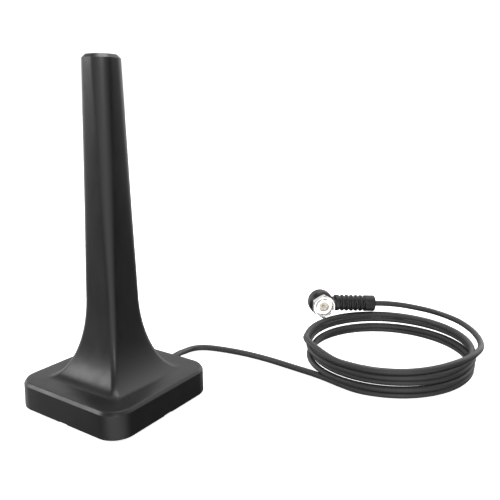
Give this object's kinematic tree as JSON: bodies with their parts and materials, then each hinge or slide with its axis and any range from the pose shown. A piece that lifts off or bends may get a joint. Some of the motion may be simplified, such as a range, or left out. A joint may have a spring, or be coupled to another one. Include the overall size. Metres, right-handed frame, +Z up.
{
  "type": "indoor signal booster antenna",
  "caption": "Desktop indoor antenna of a cellular signal booster: tapered mast on a weighted square base, with a coiled coaxial lead and a right-angle screw-on plug.",
  "frame": {"origin": "bottom centre of the square base, at the undersides of its feet", "axes": "+Z up along the mast, -Y is the front face, +Y is the face that the lead leaves"},
  "size_m": [0.1545, 0.1766, 0.1405],
  "materials": {
    "housing_plastic": "fine satin moulded charcoal plastic",
    "cover_plastic": "matte black moulded plastic",
    "soft_rubber": "matte black rubber",
    "cord_jacket": "satin dark grey PVC jacket",
    "plug_plastic": "satin black overmould",
    "zinc_steel": "zinc plated steel",
    "board_laminate": "green solder resist",
    "copper": "bare copper",
    "solder": "bright solder",
    "nickel": "bright nickel plate",
    "insulator_cream": "cream polyethylene",
    "foam": "open cell foam",
    "label_film": "blank grey film"
  },
  "bodies": {
    "antenna": {"mast_housing": "housing_plastic", "base_cover": "cover_plastic", "ballast_plate": "zinc_steel", "board_holder": "cover_plastic", "antenna_board": "board_laminate", "lower_radiator": "copper", "upper_radiator": "copper", "foam_collar": "foam", "inner_lead": "cord_jacket", "feed_core": "copper", "core_joint": "solder", "braid_joint": "solder", "cable_grommet": "soft_rubber", "lead_clamp": "cover_plastic", "clamp_screw_1": "zinc_steel", "clamp_screw_2": "zinc_steel", "holder_screw_1": "zinc_steel", "holder_screw_2": "zinc_steel", "base_label": "label_film", "cord_lead": "cord_jacket", "cord_coil": "cord_jacket", "cord_tail": "cord_jacket", "plug_elbow": "plug_plastic", "plug_boot": "plug_plastic", "crimp_ferrule": "nickel", "plug_inner_lead": "cord_jacket", "plug_post": "nickel", "plug_insulator": "insulator_cream", "centre_pin": "nickel", "cover_screw_1": "zinc_steel", "foot_1": "soft_rubber", "cover_screw_2": "zinc_steel", "foot_2": "soft_rubber", "cover_screw_3": "zinc_steel", "foot_3": "soft_rubber", "cover_screw_4": "zinc_steel", "foot_4": "soft_rubber"},
    "coupling_nut": {"coupling_nut": "nickel"}
  },
  "joints": [
    {"name": "coupling_nut_spin", "type": "hinge", "parent": "antenna", "child": "coupling_nut", "pos_m": [0.0401, 0.1118, 0.0202], "axis": [0.6428, -0.766, 0], "continuous": true}
  ]
}
